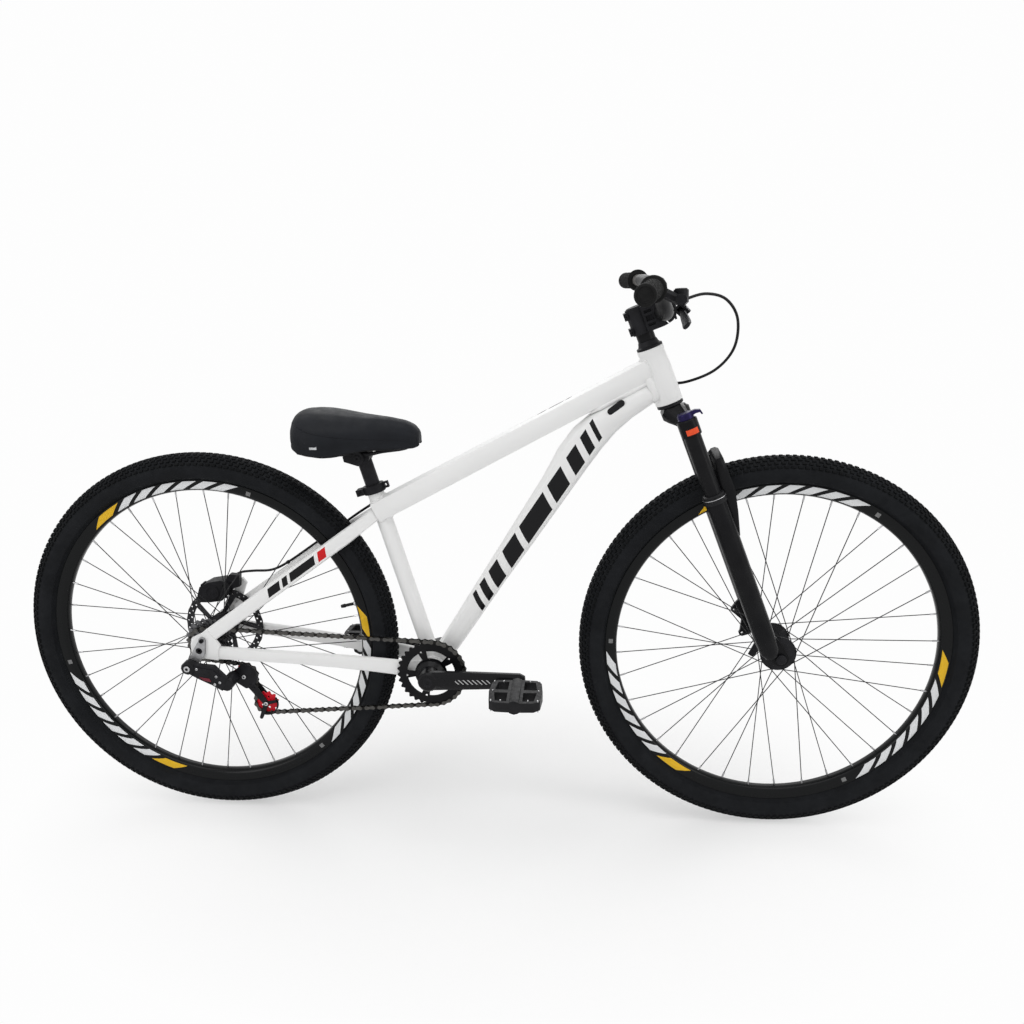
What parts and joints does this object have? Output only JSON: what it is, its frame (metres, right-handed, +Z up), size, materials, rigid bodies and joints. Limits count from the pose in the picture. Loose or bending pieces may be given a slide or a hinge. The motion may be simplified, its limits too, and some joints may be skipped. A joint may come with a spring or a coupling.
{
  "type": "freeride bicycle",
  "caption": "Hardtail freeride bicycle with suspension fork, rear disc brake, chain drive with a sprung tensioner, turning platform pedals and adjustable saddle.",
  "frame": {"origin": "on the ground, in the bicycle's middle plane, midway between the two wheel axles", "axes": "+X forward, +Y towards the rider's left, +Z up; the drive side faces -Y"},
  "size_m": [1.8207, 0.6964, 1.053],
  "materials": {
    "frame_paint": "gloss white paint",
    "gloss_black": "gloss black paint",
    "satin_black": "satin black anodised",
    "tyre_rubber": "matt black rubber with small tread knobs",
    "grip_rubber": "matt ribbed rubber",
    "saddle_vinyl": "matt black synthetic leather",
    "black_plastic": "matt black plastic",
    "bare_steel": "bare steel",
    "spoke_steel": "black coated steel",
    "chain_steel": "oiled dark steel",
    "red_plastic": "red plastic",
    "violet_alloy": "dark violet anodised",
    "grey_alloy": "bare grey alloy"
  },
  "bodies": {
    "frame": {"head_tube": "frame_paint", "top_tube": "frame_paint", "down_tube": "frame_paint", "seat_tube": "frame_paint", "bottom_bracket_shell": "frame_paint", "chainstay_right": "frame_paint", "chainstay_left": "frame_paint", "seatstay_right": "frame_paint", "seatstay_left": "frame_paint", "dropout_right": "frame_paint", "dropout_left": "frame_paint", "derailleur_hanger": "grey_alloy", "seat_clamp": "satin_black", "headset_upper_cup": "satin_black", "headset_lower_cup": "satin_black", "bottom_bracket_cartridge": "satin_black", "brake_caliper": "satin_black", "brake_hose": "black_plastic", "rear_axle": "satin_black", "chain": "chain_steel"},
    "seatpost": {"seatpost": "satin_black"},
    "saddle": {"saddle_rails": "satin_black", "saddle": "saddle_vinyl"},
    "steering": {"fork_crown": "gloss_black", "stanchion_right": "gloss_black", "stanchion_left": "gloss_black", "headset_spacer": "gloss_black", "stem": "satin_black", "stem_faceplate": "satin_black", "handlebar": "satin_black", "grip_right": "grip_rubber", "grip_left": "grip_rubber", "brake_lever_body": "satin_black"},
    "brake_lever": {"brake_lever_blade": "satin_black"},
    "lockout": {"lockout_knob": "violet_alloy"},
    "fork_lowers": {"fork_lowers": "gloss_black", "front_skewer": "satin_black"},
    "skewer_lever": {"skewer_lever": "satin_black"},
    "front_wheel": {"front_tyre": "tyre_rubber", "front_rim": "gloss_black", "front_spokes": "spoke_steel", "front_hub": "satin_black"},
    "rear_wheel": {"rear_tyre": "tyre_rubber", "rear_rim": "gloss_black", "rear_spokes": "spoke_steel", "rear_hub": "satin_black", "brake_rotor": "satin_black"},
    "sprocket": {"rear_sprocket": "grey_alloy"},
    "crankset": {"chainring": "gloss_black", "crank_spindle": "bare_steel", "crank_right": "gloss_black", "crank_left": "gloss_black", "pedal_axle_right": "bare_steel", "pedal_axle_left": "bare_steel"},
    "pedal_right": {"pedal_right": "black_plastic"},
    "pedal_left": {"pedal_left": "black_plastic"},
    "derailleur": {"derailleur_body": "satin_black"},
    "cage": {"derailleur_cage": "satin_black"},
    "jockey_upper": {"jockey_wheel_upper": "red_plastic"},
    "jockey_lower": {"jockey_wheel_lower": "red_plastic"}
  },
  "joints": [
    {"name": "seatpost_slide", "type": "slide", "parent": "frame", "child": "seatpost", "axis": [-0.2773, 0, 0.9608], "range_m": [-0.035, 0.1]},
    {"name": "saddle_tilt", "type": "hinge", "parent": "seatpost", "child": "saddle", "pos_m": [-0.228, 0, 0.737], "axis": [0, 1, 0], "range_deg": [-12, 12]},
    {"name": "steering_turn", "type": "hinge", "parent": "frame", "child": "steering", "pos_m": [0.51431, 0, 0.35726], "axis": [-0.3616, 0, 0.9323], "range_deg": [-55, 55], "deforming": ["brake_hose"]},
    {"name": "brake_lever_pull", "type": "hinge", "parent": "steering", "child": "brake_lever", "pos_m": [0.33337, -0.16549, 0.99551], "axis": [0.647, -0.1233, 0.7524], "range_deg": [-15, 0], "stiffness_Nm_per_rad": 2, "springref_deg": 5.73},
    {"name": "lockout_turn", "type": "hinge", "parent": "steering", "child": "lockout", "pos_m": [0.52829, -0.065, 0.36268], "axis": [-0.3616, 0, 0.9323], "range_deg": [-90, 0]},
    {"name": "fork_travel", "type": "slide", "parent": "steering", "child": "fork_lowers", "axis": [-0.3616, 0, 0.9323], "range_m": [0, 0.1], "stiffness_N_per_m": 6000, "springref_m": -0.015},
    {"name": "skewer_lever_turn", "type": "hinge", "parent": "fork_lowers", "child": "skewer_lever", "pos_m": [0.542, 0.071, 0.368], "axis": [0.8634, 0, -0.5045], "range_deg": [0, 150]},
    {"name": "front_wheel_spin", "type": "hinge", "parent": "fork_lowers", "child": "front_wheel", "pos_m": [0.542, 0, 0.368], "axis": [0, 1, 0], "continuous": true},
    {"name": "rear_wheel_spin", "type": "hinge", "parent": "frame", "child": "rear_wheel", "pos_m": [-0.542, 0, 0.368], "axis": [0, 1, 0], "continuous": true},
    {"name": "crank_spin", "type": "hinge", "parent": "frame", "child": "crankset", "pos_m": [-0.105, 0, 0.317], "axis": [0, 1, 0], "continuous": true},
    {"name": "sprocket_spin", "type": "hinge", "parent": "frame", "child": "sprocket", "pos_m": [-0.542, 0, 0.368], "axis": [0, 1, 0], "continuous": true},
    {"name": "pedal_right_spin", "type": "hinge", "parent": "crankset", "child": "pedal_right", "pos_m": [0.0647, 0, 0.32708], "axis": [0, 1, 0], "continuous": true},
    {"name": "pedal_left_spin", "type": "hinge", "parent": "crankset", "child": "pedal_left", "pos_m": [-0.2747, 0, 0.30692], "axis": [0, 1, 0], "continuous": true},
    {"name": "derailleur_swing", "type": "hinge", "parent": "frame", "child": "derailleur", "pos_m": [-0.561, 0, 0.339], "axis": [0, 1, 0], "range_deg": [-5, 3], "stiffness_Nm_per_rad": 6, "springref_deg": 14.32, "deforming": ["chain"]},
    {"name": "cage_swing", "type": "hinge", "parent": "derailleur", "child": "cage", "pos_m": [-0.49, 0, 0.305], "axis": [0, 1, 0], "range_deg": [-3, 5], "stiffness_Nm_per_rad": 4, "springref_deg": -14.32, "deforming": ["chain"]},
    {"name": "jockey_upper_spin", "type": "hinge", "parent": "cage", "child": "jockey_upper", "pos_m": [-0.47, 0, 0.304], "axis": [0, 1, 0], "continuous": true},
    {"name": "jockey_lower_spin", "type": "hinge", "parent": "cage", "child": "jockey_lower", "pos_m": [-0.431, 0, 0.248], "axis": [0, 1, 0], "continuous": true}
  ],
  "couplings": [
    {"joint": "sprocket_spin", "follows": "crank_spin", "ratio": 2},
    {"joint": "jockey_upper_spin", "follows": "crank_spin", "ratio": -2.9091},
    {"joint": "jockey_lower_spin", "follows": "crank_spin", "ratio": 2.9091}
  ]
}
